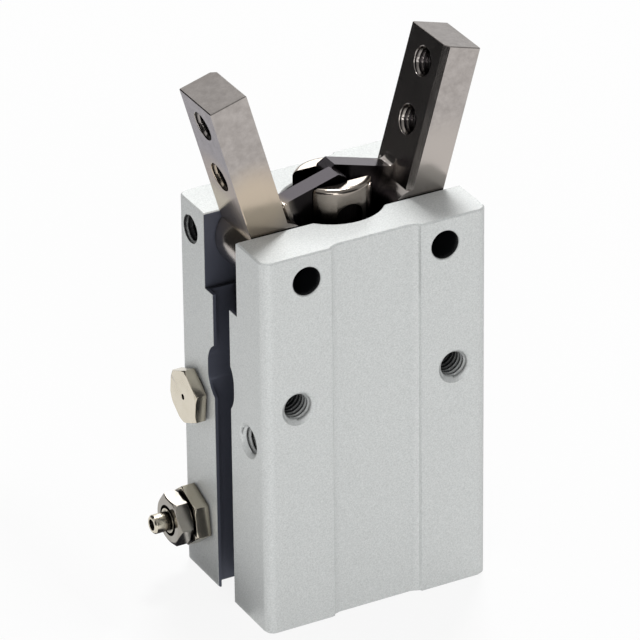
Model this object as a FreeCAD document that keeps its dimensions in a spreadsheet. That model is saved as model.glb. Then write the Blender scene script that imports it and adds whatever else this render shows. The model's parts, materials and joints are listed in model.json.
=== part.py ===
import FreeCAD, Part
import os
import Sketcher

# Single-acting pneumatic angular gripper, drawn in millimetres with the jaws open.
# X runs across the jaws, -Y is the front face, Z points up along the piston,
# and the origin is the middle of the bottom face.

SIZES = (
    # extruded and machined body
    ("body_width", "23.1"),
    ("body_depth", "16.7"),
    ("body_height", "38.6"),
    ("corner_radius", "1.0"),
    ("edge_chamfer", "0.15"),
    ("base_chamfer", "0.2"),
    ("face_recess_width", "9.2"),
    ("face_recess_floor", "7.5"),
    ("face_recess_depth", "0.5"),
    ("face_recess_step_width", "0.15"),
    ("face_recess_step_depth", "0.25"),
    ("jaw_slot_width", "6.3"),
    ("jaw_slot_depth", "7.6"),
    # sensor grooves on both sides
    ("groove_mouth", "3.3"),
    ("groove_lip", "0.35"),
    ("groove_width", "5.4"),
    ("groove_depth", "2.8"),
    ("switch_entry_width", "5.2"),
    ("switch_entry_travel", "1.0"),
    ("switch_entry_offset", "0.3"),
    ("switch_entry_height", "23.0"),
    # stepped bore
    ("bore_diameter", "10.0"),
    ("head_opening_diameter", "9.6"),
    ("cap_bore_diameter", "11.0"),
    ("cap_seat_height", "5.5"),
    ("cover_seat_drop", "9.2"),
    # M3 threads, drawn at the tap drill size
    ("tap_drill", "2.5"),
    ("tap_countersink", "3.4"),
    ("lock_countersink", "2.8"),
    ("finger_countersink", "2.9"),
    ("front_tap_edge", "3.45"),
    ("front_tap_height", "23.1"),
    ("front_tap_depth", "4.4"),
    ("side_tap_edge", "3.4"),
    ("side_tap_height", "19.0"),
    ("side_tap_depth", "4.5"),
    ("base_tap_edge_x", "3.5"),
    ("base_tap_edge_y", "3.0"),
    ("base_tap_depth", "4.5"),
    ("port_edge", "3.0"),
    ("port_depth", "4.2"),
    ("port_orifice", "1.0"),
    ("port_orifice_inset", "0.5"),
    ("port_orifice_reach", "1.5"),
    ("lower_port_share", "0.334"),
    ("upper_port_share", "0.44"),
    # jaw pivots
    ("pivot_spacing", "14.2"),
    ("pivot_drop", "2.7"),
    ("pivot_diameter", "2.8"),
    ("pivot_countersink", "0.1"),
    ("pivot_front_recess", "3.0"),
    ("pivot_rear_recess", "0.8"),
    ("set_screw_edge", "2.5"),
    ("set_screw_recess", "1.0"),
    ("set_screw_socket", "1.3"),
    # jaw levers
    ("open_angle", "16.0"),
    ("close_angle", "5.0"),
    ("finger_outer", "2.0"),
    ("finger_inner", "1.75"),
    ("finger_top", "17.15"),
    ("finger_tap_drop", "2.7"),
    ("finger_tap_pitch", "5.7"),
    ("finger_chamfer", "0.08"),
    ("finger_inner_chamfer", "0.48"),
    ("hub_gap", "0.15"),
    ("arm_thickness", "1.85"),
    ("arm_top", "4.05"),
    ("arm_bottom", "2.1"),
    ("arm_overhang", "1.5"),
    ("arm_tip_chamfer", "0.7"),
    ("arm_fillet", "0.8"),
    ("fork_rise", "0.446"),
    ("fork_relief", "0.3"),
    # piston rod with forked head
    ("head_diameter", "7.2"),
    ("head_rise", "2.85"),
    ("head_rim", "0.45"),
    ("head_fork_depth", "4.0"),
    ("head_web", "1.2"),
    ("drive_pin_diameter", "2.6"),
    ("drive_pin_recess", "0.8"),
    ("rod_diameter", "5.0"),
    ("spigot_diameter", "3.0"),
    ("spigot_overrun", "0.1"),
    # piston and its rings
    ("piston_length", "7.25"),
    ("spring_pocket_diameter", "8.1"),
    ("spring_pocket_depth", "2.4"),
    ("nut_flats", "5.5"),
    ("nut_height", "1.8"),
    ("nut_gap", "0.2"),
    ("nut_recess_depth", "2.2"),
    ("piston_seal_land", "0.8"),
    ("piston_seal_height", "1.7"),
    ("piston_seal_thickness", "1.3"),
    ("magnet_land", "0.4"),
    ("piston_foot", "0.5"),
    ("magnet_thickness", "0.9"),
    # rod cover
    ("cover_share", "0.38"),
    ("cover_spring_recess", "1.0"),
    ("bush_diameter", "6.6"),
    ("bush_land", "0.7"),
    ("rod_seal_diameter", "8.0"),
    ("rod_seal_land", "1.0"),
    ("rod_seal_height", "1.8"),
    # end cap and retaining ring
    ("cap_thickness", "2.5"),
    ("cap_skirt_bore", "7.4"),
    ("cap_notch", "2.0"),
    ("ring_section", "1.0"),
    ("clip_thickness", "0.8"),
    ("clip_width", "1.1"),
    ("clip_groove_depth", "0.45"),
    ("clip_gap", "3.4"),
    ("clip_ear_diameter", "2.2"),
    ("clip_ear_hole", "1.0"),
    # return spring
    ("spring_wire", "0.6"),
    ("spring_turns", "5.0"),
    # exhaust plug
    ("plug_gasket", "0.25"),
    ("plug_gasket_diameter", "4.4"),
    ("plug_flats", "5.0"),
    ("plug_height", "1.15"),
    ("plug_turn", "54.0"),
    ("plug_thread_length", "3.2"),
    ("plug_vent", "0.55"),
    ("filter_diameter", "1.5"),
    ("filter_length", "1.5"),
    # hose fitting
    ("fitting_gasket", "0.15"),
    ("fitting_gasket_diameter", "4.4"),
    ("fitting_flats", "5.2"),
    ("fitting_height", "1.45"),
    ("fitting_turn", "9.0"),
    ("fitting_thread_length", "3.2"),
    ("fitting_neck_diameter", "3.4"),
    ("fitting_neck_length", "1.2"),
    ("cap_nut_flats", "4.45"),
    ("cap_nut_height", "1.68"),
    ("cap_nut_turn", "28.0"),
    ("cap_nut_crown", "0.5"),
    ("cap_nut_mouth", "3.0"),
    ("nipple_diameter", "1.85"),
    ("nipple_length", "3.35"),
    ("nipple_tip", "1.5"),
    ("nipple_collar_diameter", "2.4"),
    ("nipple_groove", "0.12"),
    ("nipple_groove_depth", "0.2"),
    ("nipple_chamfer", "0.18"),
    ("nipple_bore", "1.1"),
    ("hex_crown", "0.3"),
    # fits, each per side
    ("press_fit", "0.005"),
    ("seat_fit", "0.02"),
    ("running_fit", "0.03"),
    ("piston_fit", "0.05"),
    ("fork_fit", "0.08"),
    ("side_fit", "0.1"),
    ("stop_gap", "0.05"),
    ("thread_fit", "0.02"),
    ("rod_gap", "0.15"),
)

doc = FreeCAD.newDocument("angular_gripper")
sheet = doc.addObject("Spreadsheet::Sheet", "Size")
for row, (alias, text) in enumerate(SIZES, start=1):
    sheet.set("A%d" % row, alias)
    sheet.set("B%d" % row, text)
    sheet.setAlias("B%d" % row, alias)
doc.recompute()

# Places that several pieces share, each written once.
HALF_WIDTH = "(Size.body_width / 2)"
HALF_DEPTH = "(Size.body_depth / 2)"
PIVOT_X = "(Size.pivot_spacing / 2)"
PIVOT_Z = "(Size.body_height - Size.pivot_drop)"
OPEN = "(Size.open_angle * 1deg)"
CLOSE = "(Size.close_angle * 1deg)"
PIN_RISE_OPEN = "(%s * tan(%s) + Size.fork_rise / cos(%s))" % (PIVOT_X, OPEN, OPEN)
PIN_RISE_CLOSED = "(Size.fork_rise / cos(%s) - %s * tan(%s))" % (CLOSE, PIVOT_X, CLOSE)
STROKE = "(%s - %s)" % (PIN_RISE_OPEN, PIN_RISE_CLOSED)
PIN_Z = "(%s + %s)" % (PIVOT_Z, PIN_RISE_OPEN)
TAP_RADIUS = "(Size.tap_drill / 2)"
BORE_RADIUS = "(Size.bore_diameter / 2)"
CAP_BORE_RADIUS = "(Size.cap_bore_diameter / 2)"
ROD_RADIUS = "(Size.rod_diameter / 2)"
POCKET_RADIUS = "(Size.spring_pocket_diameter / 2)"
JAW_THICKNESS = "(Size.jaw_slot_width - 2 * Size.side_fit)"
HEAD_SLOT = "(2 * Size.arm_thickness + 3 * Size.side_fit)"
COVER_SEAT_Z = "(Size.body_height - Size.cover_seat_drop)"
CHAMBER = "(%s - Size.cap_seat_height)" % COVER_SEAT_Z
COVER_LENGTH = "(Size.cover_share * %s)" % CHAMBER
PISTON_ROOM = "(Size.piston_length + %s + 2 * Size.stop_gap)" % STROKE
SKIRT_LENGTH = "((%s - %s - %s) / 2)" % (CHAMBER, COVER_LENGTH, PISTON_ROOM)
SKIRT_Z = "(%s - %s - %s)" % (COVER_SEAT_Z, COVER_LENGTH, SKIRT_LENGTH)
SKIRT_RADIUS = "((%s + %s) / 2)" % (POCKET_RADIUS, BORE_RADIUS)
LOWER_PORT_Z = "(Size.cap_seat_height + %s * Size.lower_port_share)" % SKIRT_LENGTH
UPPER_PORT_Z = "(%s + %s * Size.upper_port_share)" % (SKIRT_Z, SKIRT_LENGTH)
PORT_Y = "(%s - Size.port_edge)" % HALF_DEPTH
SCREW_Y = "(%s - Size.set_screw_edge)" % HALF_DEPTH
PISTON_TOP_Z = "(%s - Size.stop_gap)" % SKIRT_Z
ROD_SEAT_Z = "(%s - Size.spring_pocket_depth)" % PISTON_TOP_Z
NUT_SEAT_Z = "(%s - Size.piston_length + Size.nut_recess_depth)" % PISTON_TOP_Z
CAP_BASE_Z = "(Size.cap_seat_height - Size.cap_thickness)"
SPRING_LENGTH = (
    "(Size.spring_pocket_depth + Size.stop_gap + %s + Size.cover_spring_recess)" % SKIRT_LENGTH
)

TURNS = {
    "+X": FreeCAD.Rotation(FreeCAD.Vector(0, 1, 0), 90),
    "-X": FreeCAD.Rotation(FreeCAD.Vector(0, 1, 0), -90),
    "+Y": FreeCAD.Rotation(FreeCAD.Vector(1, 0, 0), -90),
    "-Y": FreeCAD.Rotation(FreeCAD.Vector(1, 0, 0), 90),
    "+Z": FreeCAD.Rotation(),
}
SIDES = (("left", "-"), ("right", "+"))
SAME_PLACE = 1e-5
parts = []


def size(expression):
    return float(sheet.evalExpression(expression))


def piece(label, x="0", y="0", z="0", axis="+Z"):
    body = doc.addObject("PartDesign::Body", label)
    body.Label = label
    body.Placement = FreeCAD.Placement(FreeCAD.Vector(), TURNS[axis])
    for letter, place in zip("xyz", (x, y, z)):
        body.setExpression(".Placement.Base." + letter, place)
    parts.append(body)
    return body


def feature(body, kind, name, settings=None, at=None, axis="+Z"):
    item = body.newObject("PartDesign::" + kind, body.Name + "_" + name)
    if at:
        item.Placement = FreeCAD.Placement(FreeCAD.Vector(), TURNS[axis])
        for letter, place in zip("xyz", at):
            item.setExpression(".Placement.Base." + letter, place)
    for prop, expression in (settings or {}).items():
        item.setExpression(prop, expression)
    return item


def sketch_on(body, name, role, offset="0"):
    sketch = body.newObject("Sketcher::SketchObject", body.Name + "_" + name)
    plane = [item for item in body.Origin.OriginFeatures if item.Role == role][0]
    sketch.AttachmentSupport = (plane, [""])
    sketch.MapMode = "FlatFace"
    sketch.setExpression(".AttachmentOffset.Base.z", offset)
    return sketch


def hold(sketch, kind, places, expression):
    """Constraint of one kind whose length follows an expression."""
    rule = sketch.addConstraint(Sketcher.Constraint(kind, *places, size(expression)))
    sketch.setExpression("Constraints[%d]" % rule, expression)


def outline(body, name, role, corners, offset="0"):
    """Closed sketch; a corner with a third and fourth entry starts an arc to the next one."""
    sketch = sketch_on(body, name, role, offset)
    spots = [FreeCAD.Vector(size(corner[0]), size(corner[1]), 0) for corner in corners]
    ends = []
    for index, corner in enumerate(corners):
        start = spots[index]
        stop = spots[(index + 1) % len(spots)]
        if len(corner) == 2:
            sketch.addGeometry(Part.LineSegment(start, stop), False)
            ends.append((1, 2))
            continue
        radius = size(corner[2])
        first, last = (start, stop) if corner[3] == "left" else (stop, start)
        chord = last - first
        middle = (first + last) * 0.5
        side = FreeCAD.Vector(-chord.y, chord.x, 0).normalize()
        reach = max(radius ** 2 - (chord.Length / 2) ** 2, 0) ** 0.5
        centre = middle + side * reach
        circle = Part.Circle(centre, FreeCAD.Vector(0, 0, 1), radius)
        arc = Part.ArcOfCircle(circle, circle.parameter(first), circle.parameter(last))
        sketch.addGeometry(arc, False)
        ends.append((1, 2) if corner[3] == "left" else (2, 1))
    for index in range(len(corners)):
        following = (index + 1) % len(corners)
        sketch.addConstraint(
            Sketcher.Constraint("Coincident", index, ends[index][1], following, ends[following][0])
        )
    for index, corner in enumerate(corners):
        hold(sketch, "DistanceX", (-1, 1, index, ends[index][0]), corner[0])
        hold(sketch, "DistanceY", (-1, 1, index, ends[index][0]), corner[1])
        if len(corner) > 2:
            hold(sketch, "Radius", (index,), corner[2])
    return sketch


def pad(body, name, sketch, length, both_ways=False):
    item = feature(body, "Pad", name, {"Length": length})
    item.Profile = sketch
    if both_ways:
        item.SideType = "Symmetric"
    return item


def turn(body, kind, name, corners):
    """Revolve a half profile, given as radius and height, about the piece's own axis."""
    sketch = outline(body, name + "_half", "XZ_Plane", corners)
    item = feature(body, kind, name)
    item.Profile = sketch
    item.ReferenceAxis = (sketch, ["V_Axis"])
    item.Angle = 360
    return item


def chamfer(body, name, amount, wanted):
    doc.recompute()
    base = body.Tip
    edges = []
    for index, edge in enumerate(base.Shape.Edges, start=1):
        if wanted([vertex.Point for vertex in edge.Vertexes]):
            edges.append("Edge%d" % index)
    item = feature(body, "Chamfer", name, {"Size": amount})
    item.Base = (base, edges)
    return item


def countersunk(body, name, at, axis, wide):
    """Cone at a tapped hole's mouth, as wide as given where it meets the face."""
    mouth = {
        "Radius1": wide + " / 2",
        "Radius2": TAP_RADIUS,
        "Height": wide + " / 2 - " + TAP_RADIUS,
    }
    feature(body, "SubtractiveCone", name, mouth, at, axis)


def tapped(body, name, at, axis, depth, wide="Size.tap_countersink"):
    """Tap drill hole with a countersunk mouth, starting on a face."""
    feature(body, "SubtractiveCylinder", name, {"Radius": TAP_RADIUS, "Height": depth}, at, axis)
    countersunk(body, name + "_mouth", at, axis, wide)


def hexagon(body, name, flats, height, z, turned="0"):
    settings = {
        "Circumradius": "%s / 2 / cos(30deg)" % flats,
        "Height": height,
        ".Placement.Rotation.Angle": turned,
    }
    item = feature(body, "AdditivePrism", name, settings, ("0", "0", z))
    item.Polygon = 6
    return item


def crown(body, name, flats, z, downward="-", taken="Size.hex_crown"):
    """Turned chamfer that takes the corners off a hexagon at one end face."""
    rim = "(%s / 2 / cos(30deg) + %s)" % (flats, taken)
    inner = "(%s / 2 / cos(30deg) - %s)" % (flats, taken)
    drop = "%s %s (%s - %s) * tan(30deg)" % (z, downward, rim, inner)
    return turn(body, "Groove", name, ((inner, z), (rim, z), (rim, drop)))


def flat(points, pick, place):
    return all(abs(pick(point) - size(place)) < SAME_PLACE for point in points)


# Body: extruded profile with a sensor groove in each side and a shallow recess front and back.
body = piece("body")
LIP = "(%s - Size.groove_lip)" % HALF_WIDTH
DEEP = "(%s - Size.groove_depth)" % HALF_WIDTH
MOUTH = "(Size.groove_mouth / 2)"
UNDER = "(Size.groove_width / 2)"
ROUND_X = "(%s - Size.corner_radius)" % HALF_WIDTH
ROUND_Y = "(%s - Size.corner_radius)" % HALF_DEPTH
RIM = "(Size.face_recess_width / 2)"
FLOOR = "(Size.face_recess_floor / 2)"
SUNK = "(%s - Size.face_recess_depth)" % HALF_DEPTH
STEP_X = "(%s - Size.face_recess_step_width)" % RIM
STEP_Y = "(%s - Size.face_recess_step_depth)" % HALF_DEPTH
GROOVE = ((HALF_WIDTH, MOUTH), (LIP, MOUTH), (LIP, UNDER), (DEEP, UNDER))
profile = []
for x, y in reversed(GROOVE):
    profile.append((x, y))
profile.append((HALF_WIDTH, ROUND_Y, "Size.corner_radius", "left"))
profile += [(ROUND_X, HALF_DEPTH), (RIM, HALF_DEPTH), (STEP_X, STEP_Y), (FLOOR, SUNK)]
profile += [("-" + FLOOR, SUNK), ("-" + STEP_X, STEP_Y), ("-" + RIM, HALF_DEPTH)]
profile.append(("-" + ROUND_X, HALF_DEPTH, "Size.corner_radius", "left"))
profile.append(("-" + HALF_WIDTH, ROUND_Y))
for x, y in GROOVE:
    profile.append(("-" + x, y))
for x, y in reversed(GROOVE):
    profile.append(("-" + x, "-" + y))
profile.append(("-" + HALF_WIDTH, "-" + ROUND_Y, "Size.corner_radius", "left"))
profile += [("-" + ROUND_X, "-" + HALF_DEPTH), ("-" + RIM, "-" + HALF_DEPTH)]
profile += [("-" + STEP_X, "-" + STEP_Y), ("-" + FLOOR, "-" + SUNK)]
profile += [(FLOOR, "-" + SUNK), (STEP_X, "-" + STEP_Y), (RIM, "-" + HALF_DEPTH)]
profile.append((ROUND_X, "-" + HALF_DEPTH, "Size.corner_radius", "left"))
profile.append((HALF_WIDTH, "-" + ROUND_Y))
for x, y in GROOVE:
    profile.append((x, "-" + y))
pad(body, "bar", outline(body, "section", "XY_Plane", profile), "Size.body_height")

feature(
    body,
    "SubtractiveBox",
    "jaw_slot",
    {"Length": "Size.body_width", "Width": "Size.jaw_slot_width", "Height": "Size.jaw_slot_depth"},
    ("-" + HALF_WIDTH, "-Size.jaw_slot_width / 2", "Size.body_height - Size.jaw_slot_depth"),
)

CLIP_RADIUS = "(%s + Size.clip_groove_depth)" % CAP_BORE_RADIUS
CLIP_Z = "(%s - Size.clip_thickness)" % CAP_BASE_Z
OPENING = "(Size.head_opening_diameter / 2)"
turn(
    body,
    "Groove",
    "stepped_bore",
    (
        ("0", "0"),
        (CAP_BORE_RADIUS, "0"),
        (CAP_BORE_RADIUS, CLIP_Z),
        (CLIP_RADIUS, CLIP_Z),
        (CLIP_RADIUS, CAP_BASE_Z),
        (CAP_BORE_RADIUS, CAP_BASE_Z),
        (CAP_BORE_RADIUS, "Size.cap_seat_height"),
        (BORE_RADIUS, "Size.cap_seat_height"),
        (BORE_RADIUS, COVER_SEAT_Z),
        (OPENING, COVER_SEAT_Z),
        (OPENING, "Size.body_height"),
        ("0", "Size.body_height"),
    ),
)
chamfer(
    body,
    "end_edges",
    "Size.edge_chamfer",
    lambda points: flat(points, lambda point: point.z, "Size.body_height"),
)


def base_outline(points):
    """Outer edges of the bottom face, without the bore and the sensor grooves."""
    on_side = [abs(abs(point.x) - size(HALF_WIDTH)) < SAME_PLACE for point in points]
    on_front = [abs(point.y) > size(SUNK) - SAME_PLACE for point in points]
    outer = all(side or front for side, front in zip(on_side, on_front))
    return outer and flat(points, lambda point: point.z, "0")


chamfer(body, "base_edges", "Size.base_chamfer", base_outline)

for side, sign in SIDES:
    inward = "+X" if sign == "-" else "-X"
    face = sign + HALF_WIDTH
    entry_ends = []
    for end, way in (("top", "+"), ("bottom", "-")):
        height = "Size.switch_entry_height %s Size.switch_entry_travel / 2" % way
        entry_ends.append(height)
        feature(
            body,
            "SubtractiveCylinder",
            "switch_entry_%s_%s" % (side, end),
            {"Radius": "Size.switch_entry_width / 2", "Height": "Size.groove_depth"},
            (face, "Size.switch_entry_offset", height),
            inward,
        )
    feature(
        body,
        "SubtractiveBox",
        "switch_entry_" + side,
        {
            "Length": "Size.switch_entry_travel",
            "Width": "Size.switch_entry_width",
            "Height": "Size.groove_depth",
        },
        (face, "Size.switch_entry_offset - Size.switch_entry_width / 2", entry_ends[sign == "+"]),
        inward,
    )
    pivot = sign + PIVOT_X
    feature(
        body,
        "SubtractiveCylinder",
        "pivot_" + side,
        {"Radius": "Size.pivot_diameter / 2 + Size.press_fit", "Height": "Size.body_depth"},
        (pivot, "-" + HALF_DEPTH, PIVOT_Z),
        "+Y",
    )
    for end, place, axis in (("front", "-" + HALF_DEPTH, "+Y"), ("rear", HALF_DEPTH, "-Y")):
        feature(
            body,
            "SubtractiveCone",
            "pivot_%s_%s" % (side, end),
            {
                "Radius1": "Size.pivot_diameter / 2 + Size.press_fit + Size.pivot_countersink",
                "Radius2": "Size.pivot_diameter / 2 + Size.press_fit",
                "Height": "Size.pivot_countersink",
            },
            (pivot, place, PIVOT_Z),
            axis,
        )
    screw_at = (face, SCREW_Y, PIVOT_Z)
    lock_depth = "%s - %s" % (HALF_WIDTH, PIVOT_X)
    tapped(body, "lock_" + side, screw_at, inward, lock_depth, "Size.lock_countersink")
    front_x = "%s(%s - Size.front_tap_edge)" % (sign, HALF_WIDTH)
    front_at = (front_x, "-" + HALF_DEPTH, "Size.front_tap_height")
    tapped(body, "front_tap_" + side, front_at, "+Y", "Size.front_tap_depth")
    side_at = (face, "Size.side_tap_edge - " + HALF_DEPTH, "Size.side_tap_height")
    tapped(body, "side_tap_" + side, side_at, inward, "Size.side_tap_depth")
    for end, across in (("front", "-"), ("rear", "+")):
        base_x = "%s(%s - Size.base_tap_edge_x)" % (sign, HALF_WIDTH)
        base_y = "%s(%s - Size.base_tap_edge_y)" % (across, HALF_DEPTH)
        base_at = (base_x, base_y, "0")
        tapped(body, "base_tap_%s_%s" % (side, end), base_at, "+Z", "Size.base_tap_depth")
for port, height in (("lower", LOWER_PORT_Z), ("upper", UPPER_PORT_Z)):
    port_at = ("-" + HALF_WIDTH, PORT_Y, height)
    tapped(body, port + "_port", port_at, "+X", "Size.port_depth")
    feature(
        body,
        "SubtractiveCylinder",
        port + "_orifice",
        {"Radius": "Size.port_orifice / 2", "Height": HALF_WIDTH + " - Size.port_orifice_reach"},
        ("-" + HALF_WIDTH, BORE_RADIUS + " - Size.port_orifice_inset", height),
        "+X",
    )

# Jaw levers: two equal parts, the second one turned half round about the piston axis.
ARM_NEAR = "(Size.side_fit / 2)"
ARM_FAR = "(%s + Size.arm_thickness)" % ARM_NEAR
ARM_TIP = "(%s / cos(%s) + Size.arm_overhang)" % (PIVOT_X, OPEN)
FLARE = "(%s / 2 - %s)" % (JAW_THICKNESS, ARM_FAR)
FORK_WIDTH = "(Size.drive_pin_diameter + 2 * Size.fork_fit)"
FORK_ROOT = "(%s - Size.fork_relief)" % PIVOT_X
FINGER = "(Size.finger_inner + Size.finger_outer)"
HUB_RADIUS = "(%s - Size.head_diameter / 2 - Size.hub_gap)" % PIVOT_X
TOP_TAP_Z = "(Size.finger_top - Size.finger_tap_drop)"
LOW_TAP_Z = "(%s - Size.finger_tap_pitch)" % TOP_TAP_Z
for side, sign in SIDES:
    lever = piece("finger_" + side)
    half_round = "0" if sign == "-" else "180"
    for letter in "xyz":
        lever.setExpression(".Placement.Base." + letter, None)
    lever.setExpression(
        "Placement",
        "placement(vector(%s%s; 0; %s); rotation(%s; -Size.open_angle; 0))"
        % (sign, PIVOT_X, PIVOT_Z, half_round),
    )
    bar = outline(
        lever,
        "bar_side",
        "XZ_Plane",
        (
            ("-Size.finger_outer", "0"),
            ("Size.finger_inner", "0"),
            ("Size.finger_inner", "Size.finger_top"),
            ("-Size.finger_outer", "Size.finger_top"),
        ),
    )
    pad(lever, "bar", bar, JAW_THICKNESS, True)

    def open_inner_edge(points):
        inner = flat(points, lambda point: point.x, "Size.finger_inner")
        return inner and flat(points, lambda point: point.y, JAW_THICKNESS + " / 2")

    def other_bar_edges(points):
        top = flat(points, lambda point: point.z, "Size.finger_top")
        outer = flat(points, lambda point: point.x, "-Size.finger_outer")
        front = flat(points, lambda point: point.y, "-%s / 2" % JAW_THICKNESS)
        rear = flat(points, lambda point: point.y, "%s / 2" % JAW_THICKNESS)
        return top or (outer and (front or rear))

    chamfer(lever, "inner_edge", "Size.finger_inner_chamfer", open_inner_edge)
    chamfer(lever, "edges", "Size.finger_chamfer", other_bar_edges)
    feature(
        lever,
        "AdditiveCylinder",
        "hub",
        {"Radius": HUB_RADIUS, "Height": JAW_THICKNESS},
        ("0", "-%s / 2" % JAW_THICKNESS, "0"),
        "+Y",
    )
    arm = outline(
        lever,
        "arm_side",
        "XZ_Plane",
        (
            ("0", "-Size.arm_bottom"),
            (ARM_TIP, "-Size.arm_bottom"),
            (ARM_TIP, "Size.arm_top - Size.arm_tip_chamfer"),
            (ARM_TIP + " - Size.arm_tip_chamfer", "Size.arm_top"),
            ("0", "Size.arm_top"),
        ),
        ARM_NEAR,
    )
    pad(lever, "arm", arm, "Size.arm_thickness")
    flare = outline(
        lever,
        "flare_plan",
        "XY_Plane",
        (
            ("Size.finger_inner", "-" + ARM_FAR),
            ("Size.finger_inner", "-%s / 2" % JAW_THICKNESS, FLARE, "right"),
            ("Size.finger_inner + " + FLARE, "-" + ARM_FAR),
        ),
    )
    pad(lever, "flare", flare, "Size.arm_top")
    root = outline(
        lever,
        "root_side",
        "XZ_Plane",
        (
            ("Size.finger_inner", "Size.arm_top"),
            ("Size.finger_inner + Size.arm_fillet", "Size.arm_top", "Size.arm_fillet", "right"),
            ("Size.finger_inner", "Size.arm_top + Size.arm_fillet"),
        ),
        ARM_NEAR,
    )
    pad(lever, "root", root, "Size.arm_thickness")
    feature(
        lever,
        "SubtractiveCylinder",
        "pivot",
        {"Radius": "Size.pivot_diameter / 2 + Size.running_fit", "Height": JAW_THICKNESS},
        ("0", "-%s / 2" % JAW_THICKNESS, "0"),
        "+Y",
    )
    feature(
        lever,
        "SubtractiveBox",
        "fork",
        {"Length": "%s - %s" % (ARM_TIP, FORK_ROOT), "Width": JAW_THICKNESS, "Height": FORK_WIDTH},
        (FORK_ROOT, "-%s / 2" % JAW_THICKNESS, "Size.fork_rise - %s / 2" % FORK_WIDTH),
    )
    feature(
        lever,
        "SubtractiveCylinder",
        "fork_end",
        {"Radius": FORK_WIDTH + " / 2", "Height": JAW_THICKNESS},
        (FORK_ROOT, "-%s / 2" % JAW_THICKNESS, "Size.fork_rise"),
        "+Y",
    )
    for name, height in (("top", TOP_TAP_Z), ("low", LOW_TAP_Z)):
        wide = "Size.finger_countersink"
        inner_at = ("Size.finger_inner", "0", height)
        outer_at = ("-Size.finger_outer", "0", height)
        tapped(lever, name + "_tap", inner_at, "-X", FINGER, wide)
        countersunk(lever, name + "_tap_back", outer_at, "+X", wide)

# Pivot pins and the screws that lock them from the sides.
PIN_LENGTH = "(Size.body_depth - Size.pivot_front_recess - Size.pivot_rear_recess)"
PIN_RADIUS = "(Size.pivot_diameter / 2)"
EASE = "Size.pivot_countersink"
for side, sign in SIDES:
    pin_y = "Size.pivot_front_recess - " + HALF_DEPTH
    pin = piece("pivot_pin_" + side, sign + PIVOT_X, pin_y, PIVOT_Z, "+Y")
    turn(
        pin,
        "Revolution",
        "round",
        (
            ("0", "0"),
            ("%s - %s" % (PIN_RADIUS, EASE), "0"),
            (PIN_RADIUS, EASE),
            (PIN_RADIUS, "%s - %s" % (PIN_LENGTH, EASE)),
            ("%s - %s" % (PIN_RADIUS, EASE), PIN_LENGTH),
            ("0", PIN_LENGTH),
        ),
    )
SCREW_START = "(%s + %s)" % (PIVOT_X, PIN_RADIUS)
SCREW_LENGTH = "(%s - %s - Size.set_screw_recess)" % (HALF_WIDTH, SCREW_START)
for side, sign in SIDES:
    screw = piece("set_screw_" + side, sign + SCREW_START, SCREW_Y, PIVOT_Z, sign + "X")
    feature(
        screw,
        "AdditiveCylinder",
        "thread",
        {"Radius": TAP_RADIUS + " - Size.thread_fit", "Height": SCREW_LENGTH},
        ("0", "0", "0"),
    )
    socket = feature(
        screw,
        "SubtractivePrism",
        "socket",
        {"Circumradius": "Size.set_screw_socket / 2 / cos(30deg)", "Height": SCREW_LENGTH + " / 2"},
        ("0", "0", SCREW_LENGTH + " / 2"),
    )
    socket.Polygon = 6

# Piston rod with the forked head, its origin on the drive pin's axis.
rod = piece("piston_rod", z=PIN_Z)
HEAD_RADIUS = "(Size.head_diameter / 2)"
HEAD_BASE = "(0 - Size.head_fork_depth - Size.head_web)"
SEAT = "(%s - %s)" % (ROD_SEAT_Z, PIN_Z)
SPIGOT_RADIUS = "(Size.spigot_diameter / 2)"
SPIGOT_END = "(%s - Size.nut_height - Size.spigot_overrun - %s)" % (NUT_SEAT_Z, PIN_Z)
turn(
    rod,
    "Revolution",
    "round",
    (
        ("0", SPIGOT_END),
        (SPIGOT_RADIUS, SPIGOT_END),
        (SPIGOT_RADIUS, SEAT),
        (ROD_RADIUS, SEAT),
        (ROD_RADIUS, HEAD_BASE),
        (HEAD_RADIUS, HEAD_BASE),
        (HEAD_RADIUS, "Size.head_rise - Size.head_rim", "Size.head_rim", "left"),
        (HEAD_RADIUS + " - Size.head_rim", "Size.head_rise"),
        ("0", "Size.head_rise"),
    ),
)
feature(
    rod,
    "SubtractiveBox",
    "fork",
    {
        "Length": "Size.head_diameter",
        "Width": HEAD_SLOT,
        "Height": "Size.head_fork_depth + Size.head_rise",
    },
    ("-" + HEAD_RADIUS, "-%s / 2" % HEAD_SLOT, "0 - Size.head_fork_depth"),
)
feature(
    rod,
    "SubtractiveCylinder",
    "cross_hole",
    {"Radius": "Size.drive_pin_diameter / 2 + Size.press_fit", "Height": "Size.head_diameter"},
    ("0", "-" + HEAD_RADIUS, "0"),
    "+Y",
)
drive = piece("drive_pin", "0", "Size.drive_pin_recess - " + HEAD_RADIUS, PIN_Z, "+Y")
feature(
    drive,
    "AdditiveCylinder",
    "round",
    {
        "Radius": "Size.drive_pin_diameter / 2",
        "Height": "Size.head_diameter - 2 * Size.drive_pin_recess",
    },
    ("0", "0", "0"),
)

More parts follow.
